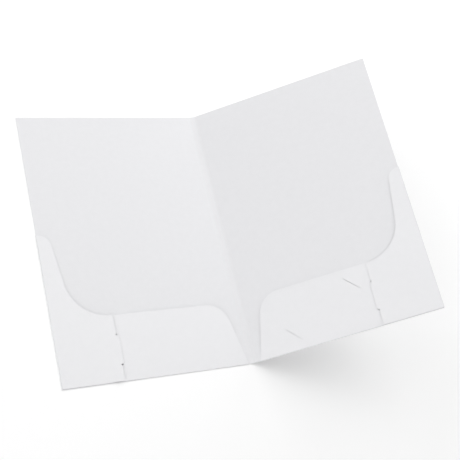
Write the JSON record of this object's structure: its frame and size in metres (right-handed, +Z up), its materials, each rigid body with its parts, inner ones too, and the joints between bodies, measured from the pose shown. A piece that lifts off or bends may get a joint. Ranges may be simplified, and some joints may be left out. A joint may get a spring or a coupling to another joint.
{
  "type": "two pocket folder",
  "caption": "Open white board folder with a narrow spine, an interlocking pocket on each inside cover and slits for a card.",
  "frame": {"origin": "centre of the front cover's outer face, which lies on the table", "axes": "+X across the folder from the front cover towards the spine, +Y up the page to the top edge, +Z up from the table"},
  "size_m": [0.3834, 0.3118, 0.1409],
  "materials": {
    "white_board": "matte uncoated white board"
  },
  "bodies": {
    "front_cover": {"front_cover": "white_board", "spine_crease_front": "white_board", "front_side_crease": "white_board", "front_bottom_crease": "white_board"},
    "spine": {"spine_panel": "white_board", "spine_crease_back": "white_board"},
    "back_cover": {"back_cover": "white_board", "back_side_crease": "white_board", "back_bottom_crease": "white_board"},
    "front_side": {"front_side_flap": "white_board", "front_lock_tab": "white_board"},
    "front_bottom": {"front_bottom_flap": "white_board", "front_tuck_strip": "white_board"},
    "back_side": {"back_side_flap": "white_board", "back_lock_tab": "white_board"},
    "back_bottom": {"back_bottom_flap": "white_board", "back_tuck_strip": "white_board"}
  },
  "joints": [
    {"name": "spine_fold", "type": "hinge", "parent": "front_cover", "child": "spine", "pos_m": [0.1065, 0, 0.00022], "axis": [0, -1, 0], "range_deg": [-20, 70]},
    {"name": "back_cover_fold", "type": "hinge", "parent": "spine", "child": "back_cover", "pos_m": [0.11214, 0, 0.00228], "axis": [0, -1, 0], "range_deg": [-20, 70]},
    {"name": "front_side_fold", "type": "hinge", "parent": "front_cover", "child": "front_side", "pos_m": [-0.1065, -0.0715, 0.00108], "axis": [0, -1, 0], "range_deg": [0, 180], "deforming": ["front_side_crease", "front_lock_tab"]},
    {"name": "front_bottom_fold", "type": "hinge", "parent": "front_cover", "child": "front_bottom", "pos_m": [0, -0.1555, 0.0008], "axis": [1, 0, 0], "range_deg": [0, 180], "deforming": ["front_bottom_crease", "front_tuck_strip"]},
    {"name": "back_side_fold", "type": "hinge", "parent": "back_cover", "child": "back_side", "pos_m": [0.27476, -0.0715, 0.13984], "axis": [0, 1, 0], "range_deg": [0, 180], "deforming": ["back_side_crease", "back_lock_tab"]},
    {"name": "back_bottom_fold", "type": "hinge", "parent": "back_cover", "child": "back_bottom", "pos_m": [0.19335, -0.1555, 0.07117], "axis": [0.766, 0, 0.6428], "range_deg": [0, 180], "deforming": ["back_bottom_crease", "back_tuck_strip"]}
  ],
  "couplings": [
    {"joint": "back_cover_fold", "follows": "spine_fold", "ratio": 1}
  ]
}
